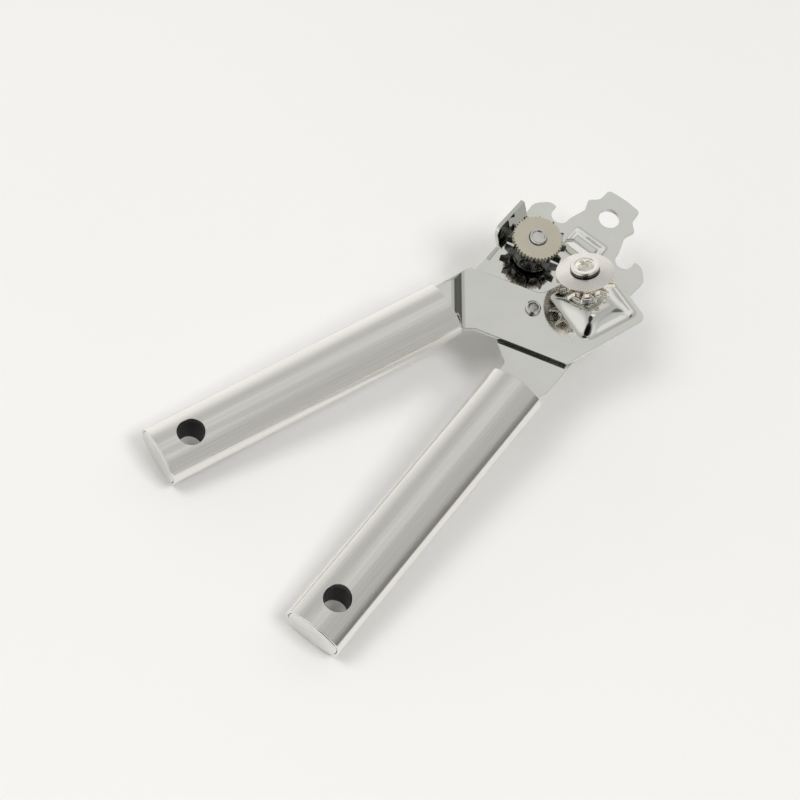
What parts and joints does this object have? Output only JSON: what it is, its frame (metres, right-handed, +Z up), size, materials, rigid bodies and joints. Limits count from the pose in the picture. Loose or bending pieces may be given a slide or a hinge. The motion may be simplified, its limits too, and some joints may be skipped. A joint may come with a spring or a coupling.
{
  "type": "manual can opener",
  "caption": "Butterfly-key can opener with two tubular handles, geared feed and cutter wheels, and a bottle-opener head with two hooks and a hanging hole.",
  "frame": {"origin": "on the floor, below the middle of the tool's outline, as the tool lies on its two handle ends and its key", "axes": "+Y from the handle ends towards the bottle-opener head, along the lower handle; +Z up; +X to the cutter's side"},
  "size_m": [0.0986, 0.1928, 0.0466],
  "materials": {
    "handle_steel": "satin stainless steel brushed along the handle",
    "plate_steel": "mirror-polished stainless sheet, slightly warm",
    "polished_steel": "polished stainless steel",
    "nickel_plate": "warm satin nickel with fine turning marks",
    "hardened_steel": "dark oiled hardened steel",
    "hardware_steel": "plain bright steel",
    "core_plastic": "charcoal moulded filler"
  },
  "bodies": {
    "lower_arm": {"lower_plate": "plate_steel", "pivot_rivet": "hardware_steel", "lower_handle_shell": "handle_steel", "lower_handle_core": "core_plastic", "lower_end_cap": "polished_steel", "feed_bushing": "hardened_steel", "friction_washer": "hardware_steel"},
    "upper_arm": {"upper_plate": "plate_steel", "upper_handle_shell": "handle_steel", "upper_handle_core": "core_plastic", "upper_end_cap": "polished_steel", "cutter_screw": "nickel_plate", "cutter_sleeve": "hardware_steel", "cutter_collar": "hardened_steel", "seat_washer": "hardware_steel", "lock_washer": "hardware_steel", "cutter_nut": "hardware_steel"},
    "feed_drive": {"feed_wheel": "nickel_plate", "feed_gear": "hardened_steel", "feed_shaft": "hardware_steel", "crank_key": "polished_steel", "crank_pin_left": "hardware_steel", "crank_pin_right": "hardware_steel"},
    "cutter": {"cutter_wheel": "nickel_plate", "cutter_gear": "polished_steel"}
  },
  "joints": [
    {"name": "handle_pivot", "type": "hinge", "parent": "lower_arm", "child": "upper_arm", "pos_m": [0.01882, 0.03913, 0.02565], "axis": [-0.026, -0.1331, 0.9908], "range_deg": [-20, 12]},
    {"name": "crank_turn", "type": "hinge", "parent": "lower_arm", "child": "feed_drive", "pos_m": [0.00575, 0.05729, 0.02775], "axis": [-0.026, -0.1331, 0.9908], "continuous": true},
    {"name": "cutter_spin", "type": "hinge", "parent": "upper_arm", "child": "cutter", "pos_m": [0.02561, 0.05286, 0.04221], "axis": [-0.3968, 0.0093, 0.9179], "continuous": true}
  ],
  "couplings": [
    {"joint": "cutter_spin", "follows": "crank_turn", "ratio": -1}
  ]
}
